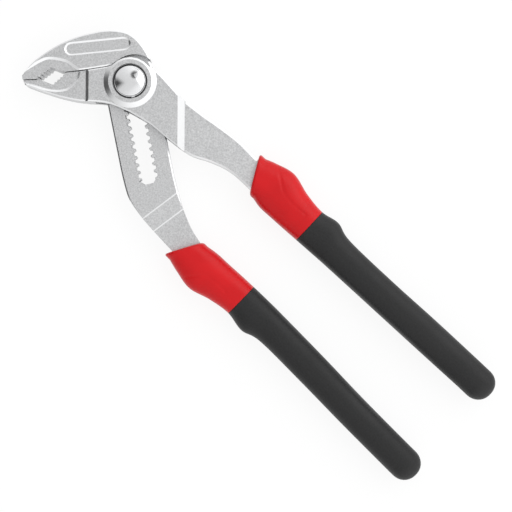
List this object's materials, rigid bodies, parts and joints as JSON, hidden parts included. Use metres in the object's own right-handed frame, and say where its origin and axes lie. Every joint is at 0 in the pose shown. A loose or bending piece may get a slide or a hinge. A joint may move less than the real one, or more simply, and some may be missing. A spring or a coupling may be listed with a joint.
{
  "type": "adjustable slip joint pliers",
  "caption": "Push-button adjustable pliers: toothed jaws on a box joint, a slotted lever that slides through it to set the opening, and plastic grips in red and black.",
  "frame": {"origin": "on the pivot axis, at the back of the joint, where the tool rests on a table", "axes": "+X down between the handles, +Y towards the upper handle, +Z out of the button"},
  "size_m": [0.2503, 0.0694, 0.0178],
  "materials": {
    "forged_steel": "satin forged and ground, bright plated",
    "polished_steel": "polished",
    "spring_steel": "drawn wire and ground strip",
    "black_oxide": "black oxide",
    "red_grip": "glossy moulded",
    "black_grip": "fine-grained matte moulded"
  },
  "bodies": {
    "box_arm": {"box_lever": "forged_steel", "rear_cap": "forged_steel", "button_retaining_ring": "black_oxide", "upper_grip_collar": "red_grip", "upper_grip_sleeve": "black_grip"},
    "pivot": {"spring_seat_washer": "spring_steel", "button_spring": "spring_steel"},
    "slotted_arm": {"slotted_lever": "forged_steel", "lower_grip_collar": "red_grip", "lower_grip_sleeve": "black_grip"},
    "button": {"push_button": "polished_steel", "locking_bolt": "spring_steel"}
  },
  "joints": [
    {"name": "jaw_pivot", "type": "hinge", "parent": "box_arm", "child": "pivot", "pos_m": [0, 0, 0], "axis": [0, 0, -1], "range_deg": [0, 30]},
    {"name": "slot_slide", "type": "slide", "parent": "pivot", "child": "slotted_arm", "axis": [-0.8241, 0.5664, 0], "range_m": [0, 0.04032]},
    {"name": "button_press", "type": "slide", "parent": "pivot", "child": "button", "axis": [0, 0, -1], "range_m": [0, 0.0024], "stiffness_N_per_m": 3000, "springref_m": -0.002, "deforming": ["button_spring"]}
  ]
}
